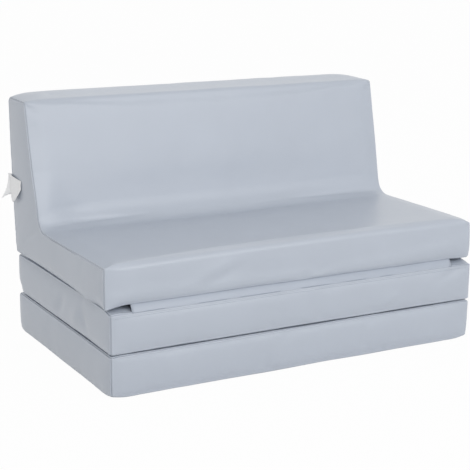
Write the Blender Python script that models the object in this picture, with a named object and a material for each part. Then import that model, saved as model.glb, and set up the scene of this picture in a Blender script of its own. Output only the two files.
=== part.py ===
"""A kids flip open sofa: two foam pads folded under an L shaped foam seat, each in a sewn cover.

Metres, +Z up. The front faces -Y and the width runs along X. The origin is on the floor, in the
middle of the bottom pad. The rear hinge joins the bottom and middle pads, and the front hinge
joins the middle pad and the seat, so the stack opens into a bed with the backrest at its end.
"""

import math

import bmesh
import bpy
from mathutils import Vector

# Overall sizes
PAD_WIDTH = 1.000
PAD_DEPTH = 0.585
PAD_THICKNESS = 0.1024
SOFA_SIDE_OVERHANG = 0.005
SEAT_SETBACK = 0.009
SEAT_THICKNESS = 0.0985
SOFA_REAR_SETBACK = 0.0104
BACKREST_FOOT_THICKNESS = 0.159
BACKREST_TOP_THICKNESS = 0.1222
BACKREST_HEIGHT = 0.310
BACKREST_LEAN = 0.068

# Cover, seams and clearances
COVER_THICKNESS = 0.0012
SEAM_GAP = 0.0004
LAYER_GAP = 0.0003
HINGE_STANDOFF = 0.007
MERGE_DISTANCE = 0.00001

# Soft form of the pads
PAD_CORNER_RADIUS = 0.008
PAD_BULGE = 0.003
PAD_DRAW = 0.0015
EDGE_ROLL = 0.060
BOTTOM_PAD_TOP_CROWN = 0.0025
MIDDLE_PAD_TOP_CROWN = 0.005
MIDDLE_PAD_BASE_CROWN = 0.001

# Soft form of the seat and backrest
SOFA_EDGE_RADIUS = 0.007
FRONT_BOTTOM_RADIUS = 0.012
FRONT_TOP_RADIUS = 0.011
INNER_CORNER_RADIUS = 0.042
TOP_FRONT_RADIUS = 0.014
TOP_REAR_RADIUS = 0.011
REAR_BOTTOM_RADIUS = 0.014
SMALLEST_RADIUS = 0.002
SOFA_FACE_CROWN = 0.003
SOFA_BASE_CROWN = 0.0055
SOFA_SIDE_BULGE = 0.003
SIDE_PILLOW_WIDTH = 0.035

# Zips: a tape fills the slot between the two rear panels, and the slider parks under a patch
ZIP_SLOT = 0.014
ZIP_END_MARGIN = 0.075
ZIP_COIL_WIDTH = 0.006
ZIP_COIL_HEIGHT = 0.0018
ZIP_RECESS = 0.0006
ZIP_HEIGHT_ON_SOFA = 0.040
SLIDER_LENGTH = 0.011
SLIDER_WIDTH = 0.009
SLIDER_WALL = 0.0012
SLIDER_EDGE_RADIUS = 0.0006
SLIDER_TAPER = 0.0018
PATCH_LENGTH = 0.034
PATCH_WIDTH = 0.026
PATCH_RAMP = 0.004
PATCH_OVERHANG = 0.006

# Hinge flaps and care label
FRONT_FLAP_MARGIN = 0.055
REAR_FLAP_MARGIN = 0.020
FLAP_BOW = 0.0015
LABEL_LENGTH = 0.052
LABEL_WIDTH = 0.058
LABEL_THICKNESS = 0.0005
LABEL_HEIGHT_ON_SOFA = 0.140
LABEL_STANDOFF = 0.006
LABEL_REAR_LEAF_LENGTH = 0.032
LABEL_DROOP = 0.010

# Worked out from the sizes above
PAD_HALF = Vector((PAD_WIDTH / 2, PAD_DEPTH / 2, PAD_THICKNESS / 2))
PAD_CORE = PAD_HALF - Vector((PAD_CORNER_RADIUS, PAD_CORNER_RADIUS, PAD_CORNER_RADIUS))
MIDDLE_PAD_BASE = PAD_THICKNESS + LAYER_GAP
SOFA_BASE = MIDDLE_PAD_BASE + PAD_THICKNESS + LAYER_GAP
FOAM_INSET = COVER_THICKNESS + LAYER_GAP
REAR_HINGE = Vector((0, PAD_DEPTH / 2 + HINGE_STANDOFF, PAD_THICKNESS + LAYER_GAP / 2))
FRONT_HINGE = Vector((0, -PAD_DEPTH / 2 - HINGE_STANDOFF, SOFA_BASE - LAYER_GAP / 2))
SOFA_WIDTH = PAD_WIDTH + 2 * SOFA_SIDE_OVERHANG
SOFA_FRONT = SEAT_SETBACK - PAD_DEPTH / 2
SOFA_REAR = PAD_DEPTH / 2 - SOFA_REAR_SETBACK
INNER_CORNER = SOFA_REAR - BACKREST_FOOT_THICKNESS

# Colours as linear values
COVER_COLOUR = (0.47, 0.515, 0.60)
FLAP_COLOUR = (0.50, 0.545, 0.63)
FOAM_COLOUR = (0.82, 0.78, 0.62)
ZIP_COLOUR = (0.36, 0.40, 0.47)
LABEL_COLOUR = (0.88, 0.88, 0.88)


def material(name, colour, roughness):
    """A plain painted or moulded surface."""
    found = bpy.data.materials.get(name)
    if found:
        return found
    made = bpy.data.materials.new(name)
    made.use_nodes = True
    shader = made.node_tree.nodes["Principled BSDF"]
    shader.inputs["Base Color"].default_value = (*colour, 1)
    shader.inputs["Roughness"].default_value = roughness
    shader.inputs["Metallic"].default_value = 0
    return made


def cover_material(name):
    return material(name + "_leather", COVER_COLOUR, 0.45)


def hang(item, parent, place):
    """Parent an object to an empty and put it at a place in the world."""
    item.parent = parent
    item.location = Vector(place) - parent.matrix_world.translation


def make_object(name, shape, surface, body, place):
    """Turn a bmesh whose faces may be in any order into a named object on a body's empty."""
    bmesh.ops.recalc_face_normals(shape, faces=shape.faces[:])
    if shape.calc_volume(signed=True) < 0:
        bmesh.ops.reverse_faces(shape, faces=shape.faces[:])
    mesh = bpy.data.meshes.new(name)
    shape.to_mesh(mesh)
    shape.free()
    mesh.materials.append(surface)
    item = bpy.data.objects.new(name, mesh)
    bpy.context.scene.collection.objects.link(item)
    hang(item, body, place)
    return item


def split_outward(faces, sign):
    """Split each four sided face along the diagonal that leaves the surface fuller.

    Layers of one cushion then bend along the same diagonals and stay a gap apart.
    """
    for face in [face for face in faces if len(face.verts) == 4]:
        first, second, third, fourth = face.verts
        rise = (first.co + third.co - second.co - fourth.co).dot(face.normal) * sign
        pair = (first, third) if rise > 0 else (second, fourth)
        bmesh.utils.face_split(face, *pair)


def grid_shell(columns, rows, point_at):
    """A closed thin shell: point_at(column, row, layer) gives its outer and inner layers."""
    shape = bmesh.new()
    column_of = shape.verts.layers.int.new("column")
    row_of = shape.verts.layers.int.new("row")
    bmesh.ops.create_grid(shape, x_segments=columns, y_segments=rows, size=1)
    for vert in shape.verts:
        vert[column_of] = round((vert.co.x + 1) / 2 * columns)
        vert[row_of] = round((vert.co.y + 1) / 2 * rows)
        vert.co = point_at(vert[column_of], vert[row_of], 0)
    shape.normal_update()
    shape.faces.ensure_lookup_table()
    sample = shape.faces[len(shape.faces) // 2]
    corner = sample.verts[0]
    lining = Vector(point_at(corner[column_of], corner[row_of], 1))
    split_outward(shape.faces, math.copysign(1, (corner.co - lining).dot(sample.normal)))
    pulled = bmesh.ops.extrude_face_region(shape, geom=shape.faces[:])
    for vert in (item for item in pulled["geom"] if isinstance(item, bmesh.types.BMVert)):
        vert.co = point_at(vert[column_of], vert[row_of], 1)
    return shape


def loft(rings):
    """A solid through closed rings of equal count, with its two end rings filled."""
    shape = bmesh.new()
    loops = [[shape.verts.new(point) for point in ring] for ring in rings]
    for first, second in zip(loops, loops[1:]):
        for index in range(len(first)):
            after = (index + 1) % len(first)
            shape.faces.new((first[index], first[after], second[after], second[index]))
    shape.faces.new(loops[0])
    shape.faces.new(loops[-1])
    return shape


def fill_out(shape):
    """Face a closed solid outwards, and split its four sided faces to its fuller side."""
    bmesh.ops.recalc_face_normals(shape, faces=shape.faces[:])
    shape.normal_update()
    split_outward(shape.faces, math.copysign(1, shape.calc_volume(signed=True)))
    return shape


def fall(distance, roll):
    """1 at a seam, easing to 0 one roll width away from it."""
    return max(0, 1 - max(0, distance) / roll) ** 2


def mirrored(places):
    """Places on the positive side, from the outside in, with the same ones on the other side."""
    return sorted([-place for place in places] + [place for place in places if place > 0])


def along_width(half, radius):
    """Places across a cover, seam to seam: the rounded edge, the roll and the flat middle."""
    flat = half - radius - EDGE_ROLL
    return mirrored([half - SEAM_GAP, half - radius, half - radius - EDGE_ROLL / 2, flat, flat / 3])


# Pads


def pad_point(crowns, box, inset):
    """The pad's soft surface at a point of its sharp box, measured from the pad's centre.

    The box's edges are rounded, the seams drop by the crowns and draw in between the corners,
    and the sides bulge between their seams.
    """
    core = Vector([max(-limit, min(limit, value)) for value, limit in zip(box, PAD_CORE)])
    point = core + (box - core).normalized() * (PAD_CORNER_RADIUS - inset)
    top_crown, base_crown = crowns
    edge_falls = [fall(PAD_CORE[axis] - abs(box[axis]), EDGE_ROLL) for axis in (0, 1)]
    edge_drop = 1 - (1 - edge_falls[0]) * (1 - edge_falls[1])
    height_share = (box.z / PAD_HALF.z + 1) / 2
    point.z += edge_drop * (base_crown * (1 - height_share) - top_crown * height_share)
    bulge_share = max(0, 1 - (box.z / PAD_CORE.z) ** 2)
    for axis, other in ((0, 1), (1, 0)):
        reach = box[axis] / PAD_HALF[axis]
        drawn = PAD_DRAW * reach * abs(reach) * (1 - (box[other] / PAD_HALF[other]) ** 2)
        bulged = PAD_BULGE * math.copysign(bulge_share, reach) * (1 - edge_falls[other])
        on_face = abs(box[axis]) >= PAD_CORE[axis]
        point[axis] += (bulged if on_face else 0) - drawn
    return point


def pad_widths():
    return along_width(PAD_HALF.x, PAD_CORNER_RADIUS)


def pad_depths():
    flat = PAD_CORE.y - EDGE_ROLL
    return mirrored([PAD_HALF.y - SEAM_GAP, PAD_CORE.y, PAD_CORE.y - EDGE_ROLL / 2, flat, 0])


def pad_heights():
    return mirrored([PAD_HALF.z - SEAM_GAP, PAD_CORE.z, PAD_CORE.z / 2, 0])


def pad_panel(name, body, centre, crowns, columns, rows, box_at):
    """One sewn panel of a pad's cover, over the part of the box that box_at gives."""

    def point_at(column, row, layer):
        return pad_point(crowns, Vector(box_at(columns[column], rows[row])), COVER_THICKNESS * layer)

    shape = grid_shell(len(columns) - 1, len(rows) - 1, point_at)
    return make_object(name, shape, cover_material(name), body, centre)


def pad_foam(name, body, centre, crowns):
    """The pad's foam: the same soft form, one cover and one gap smaller."""
    widths, depths, heights = pad_widths(), pad_depths(), pad_heights()
    for places, half in ((widths, PAD_HALF.x), (depths, PAD_HALF.y), (heights, PAD_HALF.z)):
        places[0], places[-1] = -half, half
    shape = bmesh.new()
    sides = (
        (widths, depths, lambda first, second, side: (first, second, side * PAD_HALF.z)),
        (widths, heights, lambda first, second, side: (first, side * PAD_HALF.y, second)),
        (depths, heights, lambda first, second, side: (side * PAD_HALF.x, first, second)),
    )
    for columns, rows, box_at in sides:
        for side in (-1, 1):
            grid = bmesh.ops.create_grid(
                shape, x_segments=len(columns) - 1, y_segments=len(rows) - 1, size=1)
            for vert in grid["verts"]:
                column = round((vert.co.x + 1) / 2 * (len(columns) - 1))
                row = round((vert.co.y + 1) / 2 * (len(rows) - 1))
                box = Vector(box_at(columns[column], rows[row], side))
                vert.co = pad_point(crowns, box, FOAM_INSET)
    bmesh.ops.remove_doubles(shape, verts=shape.verts[:], dist=MERGE_DISTANCE)
    return make_object(name, fill_out(shape), material(name, FOAM_COLOUR, 0.95), body, centre)


def make_pad(prefix, body, base, crowns, slider_side):
    """A pad: foam, six sewn sides, and a zip across the middle of its rear side."""
    centre = Vector((0, 0, base + PAD_HALF.z))
    widths, depths, heights = pad_widths(), pad_depths(), pad_heights()
    slot_edge = ZIP_SLOT / 2 + LAYER_GAP
    above_slot = [slot_edge] + [place for place in heights if place > slot_edge]
    pad_foam(prefix + "_foam", body, centre, crowns)
    panels = (
        ("_top_panel", widths, depths, lambda across, along: (across, along, PAD_HALF.z)),
        ("_base_panel", widths, depths, lambda across, along: (across, along, -PAD_HALF.z)),
        ("_front_band", widths, heights, lambda across, up: (across, -PAD_HALF.y, up)),
        ("_rear_upper_band", widths, above_slot, lambda across, up: (across, PAD_HALF.y, up)),
        ("_rear_lower_band", widths, above_slot, lambda across, up: (across, PAD_HALF.y, -up)),
        ("_left_band", depths, heights, lambda along, up: (-PAD_HALF.x, along, up)),
        ("_right_band", depths, heights, lambda along, up: (PAD_HALF.x, along, up)),
    )
    for suffix, columns, rows, box_at in panels:
        pad_panel(prefix + suffix, body, centre, crowns, columns, rows, box_at)

    def rear_surface(across, up, out):
        """A point at a height above the cover's rear side."""
        return pad_point(crowns, Vector((across, PAD_HALF.y, up)), -out)

    make_zip(prefix, body, centre, rear_surface, (PAD_HALF.x - SEAM_GAP, PAD_CORE.x), slider_side)


# Zips


def zip_coil_top():
    return ZIP_COIL_HEIGHT - ZIP_RECESS


def make_zip(prefix, body, place, surface, halves, slider_side):
    """A zip that fills the slot of a rear side, with its parked slider and the patch over it.

    surface(across, up, out) gives a point by its place along the zip, its distance above the
    zip's middle, and its height above the cover. halves are the places of the side seam and of
    the rounded edge's start.
    """
    seam_half, straight_half = halves
    chain_end = seam_half - ZIP_END_MARGIN
    shoulders = [seam_half, straight_half, straight_half - EDGE_ROLL / 2, straight_half - EDGE_ROLL]
    columns = mirrored(shoulders + [chain_end + ZIP_COIL_HEIGHT, chain_end, chain_end / 3])
    coil_half = ZIP_COIL_WIDTH / 2
    rows = mirrored([ZIP_SLOT / 2, coil_half, coil_half / 2])

    def tape_at(column, row, layer):
        across, up = columns[column], rows[row]
        on_coil = abs(across) <= chain_end and abs(up) < coil_half
        height = zip_coil_top() if on_coil else -ZIP_RECESS
        return surface(across, up, height if layer == 0 else -COVER_THICKNESS)

    tape = grid_shell(len(columns) - 1, len(rows) - 1, tape_at)
    make_object(prefix + "_zip", tape, material(prefix + "_zip", ZIP_COLOUR, 0.6), body, place)
    parked = slider_side * (chain_end - SLIDER_LENGTH / 2)
    make_slider(prefix + "_zip_slider", body, place, surface, parked, slider_side)
    make_patch(prefix + "_zip_patch", body, place, surface, slider_side, chain_end)


def slider_base():
    """Height of the slider's feet above the cover: just clear of the tape."""
    return LAYER_GAP - ZIP_RECESS


def slider_top():
    return zip_coil_top() + LAYER_GAP + SLIDER_WALL


def make_slider(name, body, place, surface, parked, slider_side):
    """A slider without a pull: a waisted block with a channel that the coil runs through."""
    height = slider_top() - slider_base()
    shape = bmesh.new()
    bmesh.ops.create_cube(shape, size=1)
    for vert in shape.verts:
        nose = vert.co.x * slider_side > 0
        width = SLIDER_WIDTH - (0 if nose else SLIDER_TAPER)
        vert.co = Vector((vert.co.x * SLIDER_LENGTH, vert.co.y * height, vert.co.z * width))
    bmesh.ops.bevel(shape, geom=shape.edges[:], offset=SLIDER_EDGE_RADIUS, segments=1,
                    affect="EDGES", profile=0.5)
    slider = make_object(name, shape, material(name, ZIP_COLOUR, 0.4), body, (0, 0, 0))

    channel = bmesh.new()
    bmesh.ops.create_cube(channel, size=1)
    channel_depth = height - SLIDER_WALL
    channel_width = ZIP_COIL_WIDTH + 2 * LAYER_GAP
    for vert in channel.verts:
        vert.co = Vector((
            vert.co.x * 2 * SLIDER_LENGTH,
            vert.co.y * 2 * channel_depth - height / 2,
            vert.co.z * channel_width))
    cutter = make_object(name + "_channel", channel, material(name, ZIP_COLOUR, 0.4), body, (0, 0, 0))
    cutter.hide_render = True
    cutter.display_type = "WIRE"
    cut = slider.modifiers.new("channel", "BOOLEAN")
    cut.operation = "DIFFERENCE"
    cut.solver = "EXACT"
    cut.object = cutter

    middle = (slider_top() + slider_base()) / 2
    spot = surface(parked, 0, middle)
    rise = surface(parked, ZIP_COIL_WIDTH, middle) - surface(parked, -ZIP_COIL_WIDTH, middle)
    for item in (slider, cutter):
        hang(item, body, Vector(place) + spot)
        item.rotation_euler.x = math.atan2(-rise.y, rise.z)


def make_patch(name, body, place, surface, slider_side, chain_end):
    """A sewn patch that lies on both rear panels and rises over the parked slider."""
    outer_end = chain_end + PATCH_OVERHANG
    slider_inner = chain_end - SLIDER_LENGTH - LAYER_GAP
    lengths = [outer_end - PATCH_LENGTH, slider_inner - PATCH_RAMP, slider_inner,
               chain_end + LAYER_GAP, chain_end + PATCH_RAMP, outer_end]
    widths = mirrored([PATCH_WIDTH / 2, SLIDER_WIDTH / 2 + PATCH_RAMP, SLIDER_WIDTH / 2 + LAYER_GAP])

    def patch_at(column, row, layer):
        on_slider = column in (2, 3) and abs(widths[row]) <= SLIDER_WIDTH / 2 + LAYER_GAP
        flat_height = max(0, zip_coil_top()) + LAYER_GAP
        height = slider_top() + LAYER_GAP if on_slider else flat_height
        edge = row in (0, len(widths) - 1)
        height = LAYER_GAP if edge else height
        return surface(slider_side * lengths[column], widths[row], height + COVER_THICKNESS * layer)

    shape = grid_shell(len(lengths) - 1, len(widths) - 1, patch_at)
    make_object(name, shape, cover_material(name), body, place)


# Seat and backrest: corners of the side outline, clockwise from the lower front

SEAT_TOP = SEAT_THICKNESS
BACKREST_TOP = SEAT_THICKNESS + BACKREST_HEIGHT
TOP_FRONT = INNER_CORNER + BACKREST_LEAN
CORNERS = (
    Vector((SOFA_FRONT, SOFA_BASE_CROWN)),
    Vector((SOFA_FRONT, SEAT_TOP)),
    Vector((INNER_CORNER, SEAT_TOP)),
    Vector((TOP_FRONT, BACKREST_TOP)),
    Vector((TOP_FRONT + BACKREST_TOP_THICKNESS, BACKREST_TOP)),
    Vector((SOFA_REAR, SOFA_BASE_CROWN)),
)
RADII = (FRONT_BOTTOM_RADIUS, FRONT_TOP_RADIUS, INNER_CORNER_RADIUS, TOP_FRONT_RADIUS,
         TOP_REAR_RADIUS, REAR_BOTTOM_RADIUS)
CROWNS = (SOFA_FACE_CROWN, SOFA_FACE_CROWN, SOFA_FACE_CROWN, SOFA_FACE_CROWN,
          SOFA_FACE_CROWN, SOFA_BASE_CROWN)
FRONT_BOTTOM, FRONT_TOP, INNER, BACK_TOP, REAR_TOP, REAR_BOTTOM = range(6)
SIX = len(CORNERS)


def direction(corner):
    """Unit direction of the side that leaves a corner."""
    return (CORNERS[(corner + 1) % SIX] - CORNERS[corner]).normalized()


def outward(heading):
    return Vector((-heading.y, heading.x))


def corner_point(corner, inset):
    """A corner of the outline moved into the foam by an inset."""
    before, after = outward(direction(corner - 1)), outward(direction(corner))
    bisector = (before + after).normalized()
    return CORNERS[corner] - bisector * inset / bisector.dot(after)


def corner_arc(corner, inset):
    """Centre, radius and the two end normals of a rounded corner; a hollow one turns inside out."""
    before, after = outward(direction(corner - 1)), outward(direction(corner))
    hollow = before.cross(after) > 0
    radius = RADII[corner] + inset if hollow else max(RADII[corner] - inset, SMALLEST_RADIUS)
    reach = -radius if hollow else radius
    bisector = (before + after).normalized()
    centre = corner_point(corner, inset) - bisector * reach / bisector.dot(after)
    return centre, reach, before, after


def arc_points(corner, inset, shares):
    """Points at shares of the way round a rounded corner."""
    centre, reach, before, after = corner_arc(corner, inset)
    turn = before.angle_signed(after)
    points = []
    for share in shares:
        angle = -turn * share
        normal = Vector((
            before.x * math.cos(angle) - before.y * math.sin(angle),
            before.x * math.sin(angle) + before.y * math.cos(angle)))
        points.append(centre + normal * reach)
    return points


def run_points(corner, inset, crown_share, distances):
    """Crowned points along the side after a corner, at distances from its rounded start."""
    start = arc_points(corner, inset, (1,))[0]
    end = arc_points((corner + 1) % SIX, inset, (0,))[0]
    length = (end - start).length
    heading = (end - start).normalized()
    roll = min(EDGE_ROLL, length / 2)
    points = []
    for distance in distances:
        crown = CROWNS[corner] * crown_share * (1 - fall(min(distance, length - distance), roll))
        points.append(start + heading * distance + outward(heading) * crown)
    return points


def run_length(corner, inset):
    start = arc_points(corner, inset, (1,))[0]
    return (arc_points((corner + 1) % SIX, inset, (0,))[0] - start).length


def short_run(corner, inset, crown_share):
    """A side with one crowned point in its middle and one on each shoulder."""
    length = run_length(corner, inset)
    return run_points(corner, inset, crown_share, (length / 4, length / 2, 3 * length / 4))


def long_run(corner, inset, crown_share):
    """A side with a rolled edge at both ends and a flat middle."""
    length = run_length(corner, inset)
    places = (EDGE_ROLL / 2, EDGE_ROLL, length / 2, length - EDGE_ROLL, length - EDGE_ROLL / 2)
    return run_points(corner, inset, crown_share, places)


def seam_share(corner):
    """Half a seam gap, as a share of a rounded corner's turn."""
    before, after = outward(direction(corner - 1)), outward(direction(corner))
    return SEAM_GAP / 2 / (RADII[corner] * before.angle(after))


def wrap_line(inset, crown_share):
    """The cover from the lower front seam over the seat and backrest to the top rear seam."""
    seam = 0.5 + seam_share(FRONT_BOTTOM)
    line = arc_points(FRONT_BOTTOM, inset, (seam, 1))
    line += short_run(FRONT_BOTTOM, inset, crown_share)
    line += arc_points(FRONT_TOP, inset, (0, 0.5, 1))
    line += long_run(FRONT_TOP, inset, crown_share)
    line += arc_points(INNER, inset, (0, 0.5, 1))
    line += long_run(INNER, inset, crown_share)
    line += arc_points(BACK_TOP, inset, (0, 0.5, 1))
    line += short_run(BACK_TOP, inset, crown_share)
    line += arc_points(REAR_TOP, inset, (0, 0.5 - seam_share(REAR_TOP)))
    return line


def zip_distance():
    """Distance of the sofa zip's middle from the rounded top of the rear side."""
    return run_length(REAR_TOP, 0) - ZIP_HEIGHT_ON_SOFA


def rear_upper_line(inset, crown_share):
    slot = zip_distance() - ZIP_SLOT / 2 - LAYER_GAP
    line = arc_points(REAR_TOP, inset, (0.5 + seam_share(REAR_TOP), 1))
    distances = (EDGE_ROLL / 2, EDGE_ROLL, slot / 2, slot)
    return line + run_points(REAR_TOP, inset, crown_share, distances)


def rear_lower_line(inset, crown_share):
    slot = zip_distance() + ZIP_SLOT / 2 + LAYER_GAP
    length = run_length(REAR_TOP, inset)
    line = run_points(REAR_TOP, inset, crown_share, (slot, (slot + length) / 2))
    return line + arc_points(REAR_BOTTOM, inset, (0, 0.5 - seam_share(REAR_BOTTOM)))


def base_line(inset, crown_share):
    line = arc_points(REAR_BOTTOM, inset, (0.5 + seam_share(REAR_BOTTOM), 1))
    line += long_run(REAR_BOTTOM, inset, crown_share)
    return line + arc_points(FRONT_BOTTOM, inset, (0, 0.5 - seam_share(FRONT_BOTTOM)))


def side_outline(inset):
    """The whole outline at the side seam, where the crowns have died away."""
    line = []
    for corner in range(SIX):
        line += arc_points(corner, inset, (0, 0.5, 1))
    return line


def seat_foam_outline(inset, crown_share):
    """The seat slab, whose top runs back under the backrest to the rear side."""
    line = arc_points(FRONT_BOTTOM, inset, (0, 0.5, 1)) + short_run(FRONT_BOTTOM, inset, crown_share)
    line += arc_points(FRONT_TOP, inset, (0, 0.5, 1)) + long_run(FRONT_TOP, inset, crown_share)
    glue = corner_point(INNER, inset)
    line += arc_points(INNER, inset, (0,)) + [glue, Vector((rear_at(glue.y, inset), glue.y))]
    line += arc_points(REAR_BOTTOM, inset, (0, 0.5, 1)) + long_run(REAR_BOTTOM, inset, crown_share)
    return line


def backrest_foam_outline(inset, crown_share):
    """The backrest wedge, standing on the seat slab."""
    foot = corner_point(INNER, inset)
    lifted = foot.y + LAYER_GAP
    line = [Vector((foot.x, lifted))] + arc_points(INNER, inset, (1,))
    line += long_run(INNER, inset, crown_share)
    line += arc_points(BACK_TOP, inset, (0, 0.5, 1)) + short_run(BACK_TOP, inset, crown_share)
    line += arc_points(REAR_TOP, inset, (0, 0.5, 1))
    return line + [Vector((rear_at(lifted, inset), lifted))]


def rear_at(height, inset):
    """Where the flat rear side stands at a height."""
    start = arc_points(REAR_TOP, inset, (1,))[0]
    heading = direction(REAR_TOP)
    return start.x + heading.x * (height - start.y) / heading.y


def edge_turn(depth, angle):
    """Place across the sofa and inset of a point on the rounded edge of its side."""
    reach = SOFA_EDGE_RADIUS - depth
    across = SOFA_WIDTH / 2 - SOFA_EDGE_RADIUS + reach * math.sin(angle)
    return across, SOFA_EDGE_RADIUS - reach * math.cos(angle)


def sofa_sections(depth, end_angles):
    """Sections across the sofa: place, inset and share of the crown, from left to right."""
    ends = [(*edge_turn(depth, angle), 0) for angle in end_angles]
    straight = SOFA_WIDTH / 2 - SOFA_EDGE_RADIUS
    flat = straight - EDGE_ROLL
    for place in (straight - EDGE_ROLL / 2, flat, flat / 3):
        ends.append((place, depth, 1 - fall(straight - place, EDGE_ROLL)))
    left = [(-place, inset, share) for place, inset, share in ends]
    return left + ends[::-1]


def seam_angle():
    return math.pi / 4 - SEAM_GAP / 2 / SOFA_EDGE_RADIUS


def sofa_panel(name, body, line_at):
    """A cover panel that follows a line of the outline across the whole sofa."""
    layers = [sofa_sections(COVER_THICKNESS * layer, (seam_angle(), 0)) for layer in (0, 1)]
    rows = len(line_at(0, 0))

    def point_at(column, row, layer):
        place, inset, share = layers[layer][column]
        point = line_at(inset, share)[row]
        return Vector((place, point.x, point.y))

    shape = grid_shell(len(layers[0]) - 1, rows - 1, point_at)
    return make_object(name, shape, cover_material(name), body, (0, 0, SOFA_BASE))


def side_panel(name, body, side):
    """An L shaped end panel: a pillow between its seams, lofted from its face to its lining."""
    rings = []
    for depth in (0, COVER_THICKNESS):
        start = math.pi / 2 - seam_angle()
        seam, flat = edge_turn(depth, start), edge_turn(depth, math.pi / 2)
        pillow = (flat[0] + SOFA_SIDE_BULGE, SIDE_PILLOW_WIDTH)
        layer = [seam, flat, pillow]
        rings += layer[::-1] if depth == 0 else layer
    loops = [
        [Vector((side * place, point.x, point.y)) for point in side_outline(inset)]
        for place, inset in rings]
    return make_object(name, loft(loops), cover_material(name), body, (0, 0, SOFA_BASE))


def sofa_foam(name, body, outline_at):
    sections = sofa_sections(FOAM_INSET, (math.pi / 2, math.pi / 4, 0))
    loops = [
        [Vector((place, point.x, point.y)) for point in outline_at(inset, share)]
        for place, inset, share in sections]
    foam = material(name, FOAM_COLOUR, 0.95)
    return make_object(name, fill_out(loft(loops)), foam, body, (0, 0, SOFA_BASE))


def make_sofa(body):
    """The L shaped seat: two glued foams, their wrap, end panels, rear panels, base and zip."""
    sofa_foam("seat_foam", body, seat_foam_outline)
    sofa_foam("backrest_foam", body, backrest_foam_outline)
    sofa_panel("sofa_wrap_panel", body, wrap_line)
    sofa_panel("sofa_rear_upper_panel", body, rear_upper_line)
    sofa_panel("sofa_rear_lower_panel", body, rear_lower_line)
    sofa_panel("sofa_base_panel", body, base_line)
    side_panel("sofa_left_panel", body, -1)
    side_panel("sofa_right_panel", body, 1)

    straight = SOFA_WIDTH / 2 - SOFA_EDGE_RADIUS

    def rear_surface(across, up, out):
        """A point at a height above the cover's rear side, and round onto its rounded edges."""
        angle = math.asin(max(0, abs(across) - straight) / SOFA_EDGE_RADIUS)
        seam, inset = edge_turn(-out, angle)
        share = 1 - fall(straight - abs(across), EDGE_ROLL)
        point = run_points(REAR_TOP, inset, share, (zip_distance() - up,))[0]
        return Vector((math.copysign(seam, across) if angle else across, point.x, point.y))

    halves = (straight + SOFA_EDGE_RADIUS * math.sin(seam_angle()), straight)
    make_zip("sofa", body, (0, 0, SOFA_BASE), rear_surface, halves, 1)
    make_label(body)


# Hinge flaps and care label


def make_flap(name, body, margin, low, high, bow):
    """A strip of cover between two seams, bowed out from the stack; low and high are (Y, Z)."""
    half = PAD_HALF.x - margin
    columns = mirrored([half, half / 2, 0])
    row_shares = (0, 0.25, 0.5, 0.75, 1)
    chord = high - low
    out = outward(chord.normalized()) * math.copysign(1, bow)

    def flap_at(column, row, layer):
        share = row_shares[row]
        point = low + chord * share + out * (abs(bow) * 4 * share * (1 - share))
        point += out * COVER_THICKNESS * (1 - layer)
        return Vector((columns[column], point.x, point.y))

    shape = grid_shell(len(columns) - 1, len(row_shares) - 1, flap_at)
    return make_object(name, shape, material(name, FLAP_COLOUR, 0.45), body, (0, 0, 0))


def pad_seam(crowns, base, side, top):
    """A long seam of a pad at its corner, as (Y, Z) in the world, just clear of the cover."""
    box = Vector((PAD_CORE.x, side * PAD_HALF.y, PAD_HALF.z if top else -PAD_HALF.z))
    point = pad_point(crowns, box, -LAYER_GAP)
    return Vector((point.y, base + PAD_HALF.z + point.z))


def make_flaps(bottom, middle, bottom_crowns, middle_crowns):
    pad_high = pad_seam(middle_crowns, MIDDLE_PAD_BASE, -1, True)
    sofa_low = arc_points(FRONT_BOTTOM, -LAYER_GAP, (0.5,))[0] + Vector((0, SOFA_BASE))
    make_flap("front_hinge_flap", middle, FRONT_FLAP_MARGIN, pad_high, sofa_low, FLAP_BOW)
    lower = pad_seam(bottom_crowns, 0, 1, True)
    upper = pad_seam(middle_crowns, MIDDLE_PAD_BASE, 1, False)
    make_flap("rear_hinge_flap", bottom, REAR_FLAP_MARGIN, lower, upper, -FLAP_BOW)


def make_label(body):
    """A bare folded tape sewn in the rear left seam: one leaf lies forward, one hangs rearward.

    Its places are measured from the seam, which leans with the rear side.
    """
    seam, seam_inset = edge_turn(0, math.pi / 4)
    flat, flat_inset = edge_turn(0, math.pi / 2)
    past_edge = Vector((seam - flat, seam_inset - flat_inset))
    path = (
        past_edge + Vector((-SOFA_SIDE_BULGE - LABEL_STANDOFF, -LABEL_LENGTH)),
        past_edge + Vector((-LABEL_STANDOFF / 3, 0)),
        Vector((-LAYER_GAP, LAYER_GAP)) * math.sin(math.pi / 4),
        Vector((-LABEL_REAR_LEAF_LENGTH, LABEL_REAR_LEAF_LENGTH / 2)),
    )
    droops = (LABEL_DROOP, LABEL_DROOP / 3, 0, LABEL_DROOP)
    heights = (0, LABEL_WIDTH / 2, LABEL_WIDTH)

    def label_at(column, row, layer):
        before = path[max(column - 1, 0)]
        after = path[min(column + 1, len(path) - 1)]
        point = path[column] + outward((after - before).normalized()) * LABEL_THICKNESS * layer
        height = LABEL_HEIGHT_ON_SOFA + heights[row] - droops[column]
        return Vector((point.x - seam, point.y + rear_at(height, seam_inset), height))

    shape = grid_shell(len(path) - 1, len(heights) - 1, label_at)
    make_object("care_label", shape, material("label_cloth", LABEL_COLOUR, 0.8), body, (0, 0, SOFA_BASE))


def make_axis(name, place, parent):
    """An empty on a hinge's axis, or at the root, that carries a body's pieces."""
    axis = bpy.data.objects.new(name, None)
    axis.empty_display_size = PAD_THICKNESS
    bpy.context.scene.collection.objects.link(axis)
    if parent:
        hang(axis, parent, place)
    else:
        axis.location = place
    bpy.context.view_layer.update()
    return axis


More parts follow.
